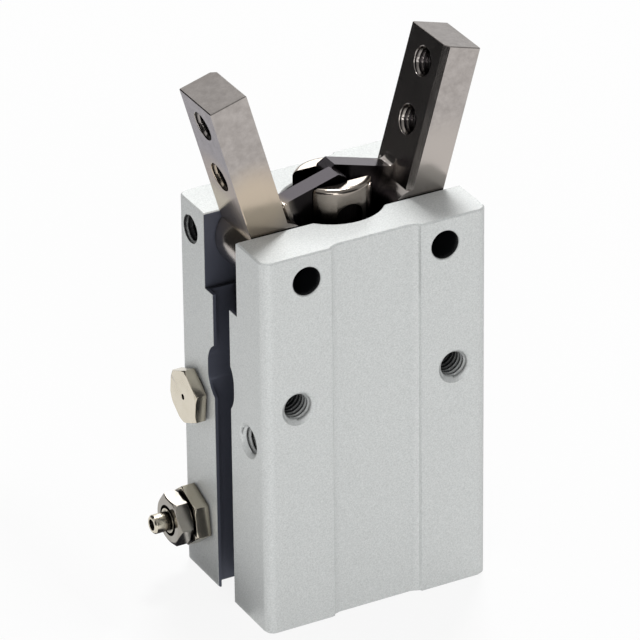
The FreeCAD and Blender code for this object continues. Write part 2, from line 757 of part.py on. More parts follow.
# Piston, with its origin on the top face.
piston = piece("piston", z=PISTON_TOP_Z)
PISTON_RADIUS = "(%s - Size.piston_fit)" % BORE_RADIUS
SEAL_FLOOR = "(%s - Size.piston_seal_thickness)" % BORE_RADIUS
MAGNET_FLOOR = "(%s - Size.magnet_thickness)" % PISTON_RADIUS
SPIGOT_HOLE = "(%s + Size.seat_fit)" % SPIGOT_RADIUS
NUT_RADIUS = "(Size.nut_flats / 2 / cos(30deg) + Size.nut_gap)"
BOTTOM = "(0 - Size.piston_length)"
SEAL_TOP = "(0 - Size.spring_pocket_depth - Size.piston_seal_land)"
SEAL_BASE = "(%s - Size.piston_seal_height)" % SEAL_TOP
MAGNET_TOP = "(%s - Size.magnet_land)" % SEAL_BASE
MAGNET_BASE = "(%s + Size.piston_foot)" % BOTTOM
turn(
    piston,
    "Revolution",
    "round",
    (
        (SPIGOT_HOLE, "0 - Size.spring_pocket_depth"),
        (SPIGOT_HOLE, BOTTOM + " + Size.nut_recess_depth"),
        (NUT_RADIUS, BOTTOM + " + Size.nut_recess_depth"),
        (NUT_RADIUS, BOTTOM),
        (PISTON_RADIUS, BOTTOM),
        (PISTON_RADIUS, MAGNET_BASE),
        (MAGNET_FLOOR, MAGNET_BASE),
        (MAGNET_FLOOR, MAGNET_TOP),
        (PISTON_RADIUS, MAGNET_TOP),
        (PISTON_RADIUS, SEAL_BASE),
        (SEAL_FLOOR, SEAL_BASE),
        (SEAL_FLOOR, SEAL_TOP),
        (PISTON_RADIUS, SEAL_TOP),
        (PISTON_RADIUS, "0"),
        (POCKET_RADIUS, "0"),
        (POCKET_RADIUS, "0 - Size.spring_pocket_depth"),
    ),
)
seal = piece("piston_seal", z=PISTON_TOP_Z)
SEAL_INNER = "(%s + Size.seat_fit)" % SEAL_FLOOR
SEAL_OUTER = "(%s - Size.seat_fit)" % BORE_RADIUS
SEAL_MIDDLE = "((%s + %s) / 2)" % (SEAL_INNER, SEAL_OUTER)
SEAL_LIP = "(Size.piston_seal_thickness / 4)"
turn(
    seal,
    "Revolution",
    "lip",
    (
        (SEAL_INNER, SEAL_BASE),
        (SEAL_MIDDLE + " - " + SEAL_LIP, SEAL_BASE),
        (SEAL_MIDDLE, SEAL_BASE + " + 2 * " + SEAL_LIP),
        (SEAL_MIDDLE + " + " + SEAL_LIP, SEAL_BASE),
        (SEAL_OUTER, SEAL_BASE),
        (SEAL_OUTER, SEAL_TOP),
        (SEAL_INNER, SEAL_TOP),
    ),
)
magnet = piece("magnet_ring", z=PISTON_TOP_Z)
turn(
    magnet,
    "Revolution",
    "ring",
    (
        (MAGNET_FLOOR + " + Size.seat_fit", MAGNET_BASE),
        (PISTON_RADIUS + " - Size.seat_fit", MAGNET_BASE),
        (PISTON_RADIUS + " - Size.seat_fit", MAGNET_TOP),
        (MAGNET_FLOOR + " + Size.seat_fit", MAGNET_TOP),
    ),
)
nut = piece("piston_nut", z=NUT_SEAT_Z + " - Size.nut_height")
hexagon(nut, "hex", "Size.nut_flats", "Size.nut_height", "0")
crown(nut, "crown", "Size.nut_flats", "0", "+")
feature(
    nut,
    "SubtractiveCylinder",
    "thread",
    {"Radius": SPIGOT_RADIUS + " + Size.thread_fit", "Height": "Size.nut_height"},
    ("0", "0", "0"),
)

# Rod cover, seated under the shoulder at the top of the bore; its origin is on that seat.
cover = piece("rod_cover", z=COVER_SEAT_Z)
COVER_RADIUS = "(%s - Size.seat_fit)" % BORE_RADIUS
RING_FLOOR = "(%s - Size.ring_section - Size.seat_fit)" % BORE_RADIUS
RING_ROOM = "(Size.ring_section / 2 + Size.side_fit)"
BUSH_RADIUS = "(Size.bush_diameter / 2)"
ROD_PASS = "(%s + Size.rod_gap)" % ROD_RADIUS
GLAND_RADIUS = "(Size.rod_seal_diameter / 2)"
COVER_BASE = "(0 - %s)" % COVER_LENGTH
SKIRT_END = "(%s - %s)" % (COVER_BASE, SKIRT_LENGTH)
SPRING_ROOF = "(%s + Size.cover_spring_recess)" % COVER_BASE
GLAND_BASE = "(%s + Size.rod_seal_land)" % SPRING_ROOF
GLAND_TOP = "(%s + Size.rod_seal_height)" % GLAND_BASE
BUSH_END = "(%s + Size.bush_land)" % GLAND_TOP
COVER_RING = "(%s / 2)" % BUSH_END
turn(
    cover,
    "Revolution",
    "round",
    (
        (BUSH_RADIUS, "0"),
        (BUSH_RADIUS, BUSH_END),
        (ROD_PASS, BUSH_END),
        (ROD_PASS, GLAND_TOP),
        (GLAND_RADIUS, GLAND_TOP),
        (GLAND_RADIUS, GLAND_BASE),
        (ROD_PASS, GLAND_BASE),
        (ROD_PASS, SPRING_ROOF),
        (POCKET_RADIUS, SPRING_ROOF),
        (POCKET_RADIUS, SKIRT_END),
        (SKIRT_RADIUS, SKIRT_END),
        (SKIRT_RADIUS, COVER_BASE),
        (COVER_RADIUS, COVER_BASE),
        (COVER_RADIUS, COVER_RING + " - " + RING_ROOM),
        (RING_FLOOR, COVER_RING + " - " + RING_ROOM),
        (RING_FLOOR, COVER_RING + " + " + RING_ROOM),
        (COVER_RADIUS, COVER_RING + " + " + RING_ROOM),
        (COVER_RADIUS, "0"),
    ),
)
RING_MINOR = "(Size.ring_section / 2)"
cover_ring = piece("rod_cover_oring", z="%s + %s" % (COVER_SEAT_Z, COVER_RING))
feature(
    cover_ring,
    "AdditiveTorus",
    "ring",
    {"Radius1": "%s - %s - Size.press_fit" % (BORE_RADIUS, RING_MINOR), "Radius2": RING_MINOR},
)
bush = piece("rod_bush", z=COVER_SEAT_Z)
turn(
    bush,
    "Revolution",
    "round",
    (
        (ROD_RADIUS + " + Size.running_fit", BUSH_END),
        (BUSH_RADIUS + " - Size.press_fit", BUSH_END),
        (BUSH_RADIUS + " - Size.press_fit", "0"),
        (ROD_RADIUS + " + Size.running_fit", "0"),
    ),
)
rod_seal = piece("rod_seal", z=COVER_SEAT_Z)
LIP_INNER = "(%s + Size.seat_fit)" % ROD_RADIUS
LIP_OUTER = "(%s - Size.seat_fit)" % GLAND_RADIUS
LIP_MIDDLE = "((%s + %s) / 2)" % (LIP_INNER, LIP_OUTER)
LIP_WIDTH = "((%s - %s) / 4)" % (LIP_OUTER, LIP_INNER)
turn(
    rod_seal,
    "Revolution",
    "lip",
    (
        (LIP_INNER, GLAND_BASE),
        (LIP_MIDDLE + " - " + LIP_WIDTH, GLAND_BASE),
        (LIP_MIDDLE, GLAND_BASE + " + 2 * " + LIP_WIDTH),
        (LIP_MIDDLE + " + " + LIP_WIDTH, GLAND_BASE),
        (LIP_OUTER, GLAND_BASE),
        (LIP_OUTER, GLAND_TOP),
        (LIP_INNER, GLAND_TOP),
    ),
)

# Return spring round the rod, between the piston's pocket and the cover's recess.
spring = piece("return_spring", z=ROD_SEAT_Z)
COIL_RADIUS = "((%s + %s) / 2)" % (ROD_RADIUS, POCKET_RADIUS)
WIRE_RADIUS = "(Size.spring_wire / 2)"
wire = sketch_on(spring, "wire", "XZ_Plane")
wire_centre = FreeCAD.Vector(size(COIL_RADIUS), size(WIRE_RADIUS), 0)
wire.addGeometry(Part.Circle(wire_centre, FreeCAD.Vector(0, 0, 1), size(WIRE_RADIUS)), False)
hold(wire, "DistanceX", (-1, 1, 0, 3), COIL_RADIUS)
hold(wire, "DistanceY", (-1, 1, 0, 3), WIRE_RADIUS)
hold(wire, "Radius", (0,), WIRE_RADIUS)
coil = feature(
    spring,
    "AdditiveHelix",
    "coil",
    {"Height": "%s - Size.spring_wire" % SPRING_LENGTH, "Turns": "Size.spring_turns"},
)
coil.Profile = wire
coil.ReferenceAxis = (wire, ["V_Axis"])
coil.Mode = "height-turns-angle"

# End cap held by a retaining ring; its origin is on the seat in the body.
cap = piece("end_cap", z="Size.cap_seat_height")
CAP_RADIUS = "(%s - Size.seat_fit)" % CAP_BORE_RADIUS
CAP_RING_FLOOR = "(%s - Size.ring_section - Size.seat_fit)" % CAP_BORE_RADIUS
CAP_MIDDLE = "(0 - Size.cap_thickness / 2)"
CAP_SKIRT_BORE = "(Size.cap_skirt_bore / 2)"
turn(
    cap,
    "Revolution",
    "round",
    (
        ("0", "0 - Size.cap_thickness"),
        (CAP_RADIUS, "0 - Size.cap_thickness"),
        (CAP_RADIUS, CAP_MIDDLE + " - " + RING_ROOM),
        (CAP_RING_FLOOR, CAP_MIDDLE + " - " + RING_ROOM),
        (CAP_RING_FLOOR, CAP_MIDDLE + " + " + RING_ROOM),
        (CAP_RADIUS, CAP_MIDDLE + " + " + RING_ROOM),
        (CAP_RADIUS, "0"),
        (SKIRT_RADIUS, "0"),
        (SKIRT_RADIUS, SKIRT_LENGTH),
        (CAP_SKIRT_BORE, SKIRT_LENGTH),
        (CAP_SKIRT_BORE, "0"),
        ("0", "0"),
    ),
)
feature(
    cap,
    "SubtractiveBox",
    "air_notch",
    {"Length": "Size.cap_notch", "Width": SKIRT_RADIUS, "Height": SKIRT_LENGTH},
    ("-Size.cap_notch / 2", "0", "0"),
)
cap_ring = piece("end_cap_oring", z="Size.cap_seat_height - Size.cap_thickness / 2")
feature(
    cap_ring,
    "AdditiveTorus",
    "ring",
    {"Radius1": "%s - %s - Size.press_fit" % (CAP_BORE_RADIUS, RING_MINOR), "Radius2": RING_MINOR},
)

# Retaining ring: an open ring with two eared ends, sprung into the body's groove.
clip = piece("retaining_ring", z=CLIP_Z)
CLIP_OUTER = "(%s - Size.seat_fit)" % CLIP_RADIUS
CLIP_INNER = "(%s - Size.clip_width)" % CLIP_RADIUS
EAR = "(Size.clip_ear_diameter / 2)"
EAR_X = "(Size.clip_gap / 2 + %s)" % EAR
EAR_Y = "(0 - sqrt(%s ^ 2 - %s ^ 2) + %s / 2)" % (CLIP_INNER, EAR_X, EAR)
THICK = {"Height": "Size.clip_thickness"}
turn(
    clip,
    "Revolution",
    "ring",
    (
        (CLIP_INNER, "0"),
        (CLIP_OUTER, "0"),
        (CLIP_OUTER, "Size.clip_thickness"),
        (CLIP_INNER, "Size.clip_thickness"),
    ),
)
feature(
    clip,
    "SubtractiveBox",
    "gap",
    {"Length": "Size.clip_gap", "Width": CLIP_OUTER, "Height": "Size.clip_thickness"},
    ("-Size.clip_gap / 2", "-" + CLIP_OUTER, "0"),
)
for side, sign in SIDES:
    ear_at = (sign + EAR_X, EAR_Y, "0")
    feature(clip, "AdditiveCylinder", "ear_" + side, dict(THICK, Radius=EAR), ear_at)
    hole = dict(THICK, Radius="Size.clip_ear_hole / 2")
    feature(clip, "SubtractiveCylinder", "ear_hole_" + side, hole, ear_at)

# Exhaust plug in the upper port; Z runs outward from the body's left face.
PORT_RADIUS = "(%s - Size.thread_fit)" % TAP_RADIUS
LEFT = "-" + HALF_WIDTH
plug_at = (LEFT, PORT_Y, UPPER_PORT_Z, "-X")
plug_gasket = piece("exhaust_plug_gasket", *plug_at)
turn(
    plug_gasket,
    "Revolution",
    "ring",
    (
        (PORT_RADIUS + " + Size.seat_fit", "0"),
        ("Size.plug_gasket_diameter / 2", "0"),
        ("Size.plug_gasket_diameter / 2", "Size.plug_gasket"),
        (PORT_RADIUS + " + Size.seat_fit", "Size.plug_gasket"),
    ),
)
plug = piece("exhaust_plug", *plug_at)
hexagon(plug, "hex", "Size.plug_flats", "Size.plug_height", "Size.plug_gasket", "Size.plug_turn")
crown(plug, "crown", "Size.plug_flats", "(Size.plug_gasket + Size.plug_height)")
feature(
    plug,
    "AdditiveCylinder",
    "thread",
    {"Radius": PORT_RADIUS, "Height": "Size.plug_thread_length + Size.plug_gasket"},
    ("0", "0", "0 - Size.plug_thread_length"),
)
feature(
    plug,
    "SubtractiveCylinder",
    "vent",
    {
        "Radius": "Size.plug_vent / 2",
        "Height": "Size.plug_thread_length + Size.plug_gasket + Size.plug_height",
    },
    ("0", "0", "0 - Size.plug_thread_length"),
)
feature(
    plug,
    "SubtractiveCylinder",
    "filter_seat",
    {"Radius": "Size.filter_diameter / 2", "Height": "Size.filter_length"},
    ("0", "0", "0 - Size.plug_thread_length"),
)
pellet = piece("exhaust_filter", *plug_at)
feature(
    pellet,
    "AdditiveCylinder",
    "disc",
    {"Radius": "Size.filter_diameter / 2 - Size.press_fit", "Height": "Size.filter_length"},
    ("0", "0", "0 - Size.plug_thread_length"),
)

# Hose fitting in the lower port, with the cap nut that clamps the tube on its nipple.
fitting_at = (LEFT, PORT_Y, LOWER_PORT_Z, "-X")
fitting_gasket = piece("hose_fitting_gasket", *fitting_at)
turn(
    fitting_gasket,
    "Revolution",
    "ring",
    (
        (PORT_RADIUS + " + Size.seat_fit", "0"),
        ("Size.fitting_gasket_diameter / 2", "0"),
        ("Size.fitting_gasket_diameter / 2", "Size.fitting_gasket"),
        (PORT_RADIUS + " + Size.seat_fit", "Size.fitting_gasket"),
    ),
)
fitting = piece("hose_fitting", *fitting_at)
SHOULDER = "(Size.fitting_gasket + Size.fitting_height)"
NECK_RADIUS = "(Size.fitting_neck_diameter / 2)"
NECK_END = "(%s + Size.fitting_neck_length)" % SHOULDER
NIPPLE_RADIUS = "(Size.nipple_diameter / 2)"
COLLAR_RADIUS = "(Size.nipple_collar_diameter / 2)"
NIPPLE_END = "(%s + Size.nipple_length)" % SHOULDER
TIP_START = "(%s - Size.nipple_tip)" % NIPPLE_END
WAIST = "(%s - Size.nipple_groove_depth)" % NIPPLE_RADIUS
FITTING_HEX = ("Size.fitting_flats", "Size.fitting_height", "Size.fitting_gasket", "Size.fitting_turn")
hexagon(fitting, "hex", *FITTING_HEX)
crown(fitting, "crown", "Size.fitting_flats", SHOULDER)
turn(
    fitting,
    "Revolution",
    "stem",
    (
        ("0", "0 - Size.fitting_thread_length"),
        (PORT_RADIUS, "0 - Size.fitting_thread_length"),
        (PORT_RADIUS, SHOULDER),
        (NECK_RADIUS, SHOULDER),
        (NECK_RADIUS, NECK_END),
        (COLLAR_RADIUS, NECK_END),
        (COLLAR_RADIUS, TIP_START + " - Size.nipple_groove"),
        (WAIST, TIP_START + " - Size.nipple_groove"),
        (WAIST, TIP_START),
        (NIPPLE_RADIUS, TIP_START),
        (NIPPLE_RADIUS, NIPPLE_END + " - Size.nipple_chamfer"),
        (NIPPLE_RADIUS + " - Size.nipple_chamfer", NIPPLE_END),
        ("0", NIPPLE_END),
    ),
)
feature(
    fitting,
    "SubtractiveCylinder",
    "air_hole",
    {"Radius": "Size.nipple_bore / 2", "Height": "Size.fitting_thread_length + " + NIPPLE_END},
    ("0", "0", "0 - Size.fitting_thread_length"),
)
cap_nut = piece("hose_cap_nut", *fitting_at)
hexagon(cap_nut, "hex", "Size.cap_nut_flats", "Size.cap_nut_height", SHOULDER, "Size.cap_nut_turn")
CAP_NUT_FACE = "(%s + Size.cap_nut_height)" % SHOULDER
crown(cap_nut, "crown", "Size.cap_nut_flats", CAP_NUT_FACE, "-", "Size.cap_nut_crown")
crown(cap_nut, "back_crown", "Size.cap_nut_flats", SHOULDER, "+", "Size.cap_nut_crown")
feature(
    cap_nut,
    "SubtractiveCylinder",
    "mouth",
    {"Radius": "Size.cap_nut_mouth / 2", "Height": "Size.cap_nut_height"},
    ("0", "0", SHOULDER),
)
feature(
    cap_nut,
    "SubtractiveCylinder",
    "thread",
    {
        "Radius": NECK_RADIUS + " + Size.thread_fit",
        "Height": "Size.fitting_neck_length + Size.thread_fit",
    },
    ("0", "0", SHOULDER),
)

doc.recompute()
for item in doc.Objects:
    if "Invalid" in item.State or "Error" in item.State:
        raise RuntimeError("%s did not build: %s" % (item.Name, item.State))
os.makedirs("parts", exist_ok=True)
for item in parts:
    shape = item.Shape
    if shape.isNull() or not shape.isValid() or not shape.Solids:
        raise RuntimeError("%s has no valid solid" % item.Label)
    shape.exportStep("parts/%s.step" % item.Label)
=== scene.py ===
import json
import math

import bmesh
import bpy
from mathutils import Matrix, Vector


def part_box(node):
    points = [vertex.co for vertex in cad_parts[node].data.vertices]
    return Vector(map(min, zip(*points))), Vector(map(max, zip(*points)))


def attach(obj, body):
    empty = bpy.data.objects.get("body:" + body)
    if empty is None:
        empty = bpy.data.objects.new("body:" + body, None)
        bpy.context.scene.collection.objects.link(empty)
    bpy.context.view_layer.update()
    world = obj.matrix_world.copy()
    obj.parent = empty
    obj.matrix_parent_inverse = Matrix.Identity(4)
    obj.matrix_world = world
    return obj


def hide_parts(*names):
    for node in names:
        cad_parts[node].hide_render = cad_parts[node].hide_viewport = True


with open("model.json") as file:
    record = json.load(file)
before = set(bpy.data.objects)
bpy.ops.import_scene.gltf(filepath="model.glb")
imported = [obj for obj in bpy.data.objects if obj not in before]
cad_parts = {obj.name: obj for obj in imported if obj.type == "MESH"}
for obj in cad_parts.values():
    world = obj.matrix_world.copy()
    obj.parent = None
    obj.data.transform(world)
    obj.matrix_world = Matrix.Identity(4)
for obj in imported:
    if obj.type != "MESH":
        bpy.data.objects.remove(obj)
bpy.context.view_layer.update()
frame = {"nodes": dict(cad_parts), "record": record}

# Looks of a small angular air gripper. Lengths are in metres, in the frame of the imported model.
MM = 0.001
record = frame["record"]
mounts = {mount["name"]: mount for mount in record["mounts"]}
slot_of_node = {row["node"]: row["material_slot"] for row in record["subparts"]}
body_of_node = {}
for body_name, members in record["behaviour"]["bodies"].items():
    for member in members:
        body_of_node[member] = body_name

# Places on the solids that the finishes and the tapped holes below need.
HALF_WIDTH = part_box("body")[1].x
SLOT_HALF = 3.15 * MM
PIN_LOW, PIN_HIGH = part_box("pivot_pin_right")
PIVOT_Z = (PIN_LOW.z + PIN_HIGH.z) / 2
SCREW_LOW, SCREW_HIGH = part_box("set_screw_right")
SCREW_Y = (SCREW_LOW.y + SCREW_HIGH.y) / 2
FINGER_LEAN = math.radians(16.0)
FINGER_WIDTH = 3.75 * MM


def linear(code):
    """sRGB hex colour as linear RGBA."""
    shares = [int(code[i : i + 2], 16) / 255 for i in (1, 3, 5)]
    return [s / 12.92 if s <= 0.04045 else ((s + 0.055) / 1.055) ** 2.4 for s in shares] + [1.0]


def per_mm(size):
    """Texture scale whose features are that many millimetres wide."""
    return 1 / (size * MM)


def add(tree, kind, inputs=None, **settings):
    """New node with its settings; an input is a value or the socket that feeds it."""
    made = tree.nodes.new(kind)
    for name, value in settings.items():
        setattr(made, name, value)
    for socket, value in (inputs or {}).items():
        if isinstance(value, bpy.types.NodeSocket):
            tree.links.new(value, made.inputs[socket])
        else:
            made.inputs[socket].default_value = value
    return made


# Sockets of a Mix node that blends colours.
FACTOR, FIRST, SECOND, BLENDED = 0, 6, 7, 2


def surface(name, colour, metallic, roughness):
    """Material with the colour, metal and gloss of its Principled shader set."""
    material = bpy.data.materials.new(name)
    material.use_nodes = True
    tree = material.node_tree
    shader = tree.nodes["Principled BSDF"]
    shader.inputs["Base Color"].default_value = linear(colour)
    shader.inputs["Metallic"].default_value = metallic
    shader.inputs["Roughness"].default_value = roughness
    return material, tree, shader


# Rays that feel how sheltered a spot is, for the painted shade.
SHELTER_RAYS = 8


def painted_recess_shade(tree, reach, closed, open_, dull, unshaded, alone=False):
    """Painted shade: colour that goes from the unshaded colour on open faces to a dark colour in sheltered
    holes, grooves and slots.
    """
    shelter = add(
        tree,
        "ShaderNodeAmbientOcclusion",
        {"Distance": reach},
        samples=SHELTER_RAYS,
        only_local=alone,
    )
    opened = add(
        tree,
        "ShaderNodeMapRange",
        {"Value": shelter.outputs["AO"], "From Min": closed, "From Max": open_},
        interpolation_type="SMOOTHSTEP",
    )
    mixed = add(
        tree,
        "ShaderNodeMix",
        {FACTOR: opened.outputs["Result"], FIRST: dull, SECOND: unshaded},
        data_type="RGBA",
    )
    return mixed.outputs[BLENDED]


# Blast dimples are about 0.05 mm across, too fine to show, so they are drawn at 0.14 mm.
DIMPLE = 0.14
DIMPLE_DEPTH = 0.02 * MM
# Turn of the dimples against the faces, so that no face runs along the pattern's lattice.
DIMPLE_TILT = (0.5, 0.7, 0.3)
# How far past a wall of the jaw slot its painted shade may reach.
SLOT_SHADE_MARGIN = 0.05 * MM
# How far around it a hole is felt for shelter.
HOLE_REACH = 4.0 * MM
# Between these heights the painted shade in the holes deepens, from light over the cut threads to nearly
# black in the reamed pivot holes.
THREADS_END = 26.0 * MM
PIVOTS_START = 32.0 * MM
# Openness at which a hole is fully in painted shade and fully unshaded, for the threads and for the pivot
# holes.
THREAD_DARK, THREAD_UNSHADED = 0.1, 0.4
PIVOT_DARK, PIVOT_UNSHADED = 0.5, 0.85


def anodised_aluminium():
    """Extruded bar, bead-blasted and clear anodised: an even pale grey, softly glossy, with a fine sparkle,
    and painted shade in the slot, grooves and holes. The oxide film scatters light, so the look is partly
    matt."""
    material, tree, shader = surface("anodised_aluminium", "#c8cac7", 0.45, 0.55)
    place = add(tree, "ShaderNodeTexCoord").outputs["Object"]
    tilted = add(tree, "ShaderNodeMapping", {"Vector": place, "Rotation": DIMPLE_TILT})
    dimples = add(
        tree,
        "ShaderNodeTexNoise",
        {"Vector": tilted.outputs["Vector"], "Scale": per_mm(DIMPLE), "Detail": 2.0, "Roughness": 0.6},
    )
    tint = add(
        tree,
        "ShaderNodeMix",
        {FACTOR: dimples.outputs["Fac"], FIRST: linear("#aeb1b0"), SECOND: linear("#e7e9e8")},
        data_type="RGBA",
    )
    # Painted shade: the bore, jaw slot and sensor grooves lie in the middle of the depth and are painted a
    # dark blue-grey, as they lie in shade.
    folded = add(tree, "ShaderNodeVectorMath", {0: place}, operation="ABSOLUTE")
    apart = add(tree, "ShaderNodeSeparateXYZ", {"Vector": folded.outputs["Vector"]})
    within_sides = add(
        tree,
        "ShaderNodeMath",
        {0: apart.outputs["X"], 1: HALF_WIDTH - SLOT_SHADE_MARGIN},
        operation="LESS_THAN",
    )
    within_walls = add(
        tree,
        "ShaderNodeMath",
        {0: apart.outputs["Y"], 1: SLOT_HALF + SLOT_SHADE_MARGIN},
        operation="LESS_THAN",
    )
    above_base = add(
        tree,
        "ShaderNodeMath",
        {0: apart.outputs["Z"], 1: SLOT_SHADE_MARGIN},
        operation="GREATER_THAN",
    )
    across = add(
        tree,
        "ShaderNodeMath",
        {0: within_sides.outputs[0], 1: within_walls.outputs[0]},
        operation="MULTIPLY",
    )
    inside = add(
        tree,
        "ShaderNodeMath",
        {0: across.outputs[0], 1: above_base.outputs[0]},
        operation="MULTIPLY",
    )
    slot_shaded = add(
        tree,
        "ShaderNodeMix",
        {FACTOR: inside.outputs[0], FIRST: tint.outputs[BLENDED], SECOND: linear("#50535f")},
        data_type="RGBA",
    )
    height = {"Value": apart.outputs["Z"], "From Min": THREADS_END, "From Max": PIVOTS_START}
    dark = add(tree, "ShaderNodeMapRange", {**height, "To Min": THREAD_DARK, "To Max": PIVOT_DARK})
    unshaded = add(tree, "ShaderNodeMapRange", {**height, "To Min": THREAD_UNSHADED, "To Max": PIVOT_UNSHADED})
    # Painted shade: the holes darken towards near black where they are sheltered, the pivot holes most.
    shaded = painted_recess_shade(
        tree,
        HOLE_REACH,
        dark.outputs["Result"],
        unshaded.outputs["Result"],
        linear("#0d0e12"),
        slot_shaded.outputs[BLENDED],
        alone=True,
    )
    dents = add(
        tree,
        "ShaderNodeBump",
        {"Height": dimples.outputs["Fac"], "Strength": 0.5, "Distance": DIMPLE_DEPTH},
    )
    tree.links.new(shaded, shader.inputs["Base Color"])
    tree.links.new(dents.outputs["Normal"], shader.inputs["Normal"])
    return material


# Grinding lines are a few hundredths wide; they are drawn 0.1 mm wide and 3 mm long to show.
LINE_WIDTH = 0.1
LINE_LENGTH = 3.0
LINE_DEPTH = 0.01 * MM
# Width of the cloudy patches that hardening leaves.
CLOUD = 0.9
# Where each finger's bar stands on its hub, and how far from there its foot is fully and not at all in the
# painted warm reflection.
FOOT_X = 9.5 * MM
FOOT_Z = 41.5 * MM
WARM_TO = 3.4 * MM
PLAIN_FROM = 6.0 * MM
# How far from the middle of the gripper the arms end and the bars begin.
ARMS_TO = 5.2 * MM
BARS_FROM = 6.6 * MM
# How far around it a finger's face is felt for shelter, and the openness at which it is fully in painted
# shade and fully unshaded.
FINGER_REACH = 4.5 * MM
FINGER_DARK, FINGER_UNSHADED = 0.28, 0.66


def ground_steel(name, colour, shade, foot, lean, roughness=0.17):
    """Hardened steel, ground along its length: grey-brown with faint straight lines and cloudy patches."""
    material, tree, shader = surface(name, colour, 1.0, roughness)
    coordinates = add(tree, "ShaderNodeTexCoord")
    place = coordinates.outputs["Object"]
    turned = add(tree, "ShaderNodeMapping", {"Vector": place, "Rotation": (0.0, lean, 0.0)})
    stretch = (per_mm(LINE_WIDTH), per_mm(LINE_WIDTH), per_mm(LINE_LENGTH))
    stretched = add(tree, "ShaderNodeMapping", {"Vector": turned.outputs["Vector"], "Scale": stretch})
    lines = add(
        tree,
        "ShaderNodeTexNoise",
        {"Vector": stretched.outputs["Vector"], "Scale": 1.0, "Detail": 3.0},
    )
    patches = add(
        tree,
        "ShaderNodeTexNoise",
        {"Vector": turned.outputs["Vector"], "Scale": per_mm(CLOUD), "Detail": 6.0, "Roughness": 0.7},
    )
    stain = add(
        tree,
        "ShaderNodeMapRange",
        {"Value": patches.outputs["Fac"], "From Min": 0.35, "From Max": 0.65},
    )
    tint = add(
        tree,
        "ShaderNodeMix",
        {FACTOR: stain.outputs["Result"], FIRST: linear(colour), SECOND: linear(shade)},
        data_type="RGBA",
    )
    # Painted reflection: the foot of the bar is painted a warm tone that stands in for a warm reflection.
    foot_distance = add(
        tree,
        "ShaderNodeVectorMath",
        {0: place, 1: (math.copysign(FOOT_X, -lean), 0.0, FOOT_Z)},
        operation="DISTANCE",
    )
    away_from_foot = add(
        tree,
        "ShaderNodeMapRange",
        {"Value": foot_distance.outputs["Value"], "From Min": WARM_TO, "From Max": PLAIN_FROM},
        interpolation_type="SMOOTHSTEP",
    )
    warm_foot = add(
        tree,
        "ShaderNodeMix",
        {FACTOR: away_from_foot.outputs["Result"], FIRST: linear(foot), SECOND: tint.outputs[BLENDED]},
        data_type="RGBA",
    )
    # Painted shade: the arms, which sit down in the jaw slot, are painted a darker grey, and their sides
    # facing front and back nearly black.
    inboard = add(
        tree,
        "ShaderNodeVectorMath",
        {0: place, 1: (0.0, 0.0, FOOT_Z)},
        operation="DISTANCE",
    )
    bright = add(
        tree,
        "ShaderNodeMapRange",
        {"Value": inboard.outputs["Value"], "From Min": ARMS_TO, "From Max": BARS_FROM},
        interpolation_type="SMOOTHSTEP",
    )
    facing = add(tree, "ShaderNodeSeparateXYZ", {"Vector": coordinates.outputs["Normal"]})
    sideways = add(tree, "ShaderNodeMath", {0: facing.outputs["Y"]}, operation="ABSOLUTE")
    painted_arm_shade = add(
        tree,
        "ShaderNodeMix",
        {FACTOR: sideways.outputs[0], FIRST: linear("#807b80"), SECOND: linear("#2b2829")},
        data_type="RGBA",
    )
    arm_shaded = add(
        tree,
        "ShaderNodeMix",
        {FACTOR: bright.outputs["Result"], FIRST: painted_arm_shade.outputs[BLENDED], SECOND: warm_foot.outputs[BLENDED]},
        data_type="RGBA",
    )
    # Painted shade: the finger darkens where it is sheltered, near the body and in its holes.
    shaded = painted_recess_shade(
        tree,
        FINGER_REACH,
        FINGER_DARK,
        FINGER_UNSHADED,
        linear("#1f1c1d"),
        arm_shaded.outputs[BLENDED],
    )
    gloss = add(
        tree,
        "ShaderNodeMapRange",
        {"Value": lines.outputs["Fac"], "To Min": roughness - 0.08, "To Max": roughness + 0.1},
    )
    scratches = add(
        tree,
        "ShaderNodeBump",
        {"Height": lines.outputs["Fac"], "Strength": 0.3, "Distance": LINE_DEPTH},
    )
    tree.links.new(shaded, shader.inputs["Base Color"])
    tree.links.new(gloss.outputs["Result"], shader.inputs["Roughness"])
    tree.links.new(scratches.outputs["Normal"], shader.inputs["Normal"])
    return material


# Depth of the ripple in a plated or moulded skin, and how far around them small plated pieces are felt for
# shelter, for their painted shade; the rod's head stands in the body's opening and is felt further.
RIPPLE_DEPTH = 0.02 * MM
FITTING_REACH = 1.0 * MM
ROD_REACH = 3.0 * MM
PLATED_DARK, PLATED_UNSHADED = 0.5, 0.9


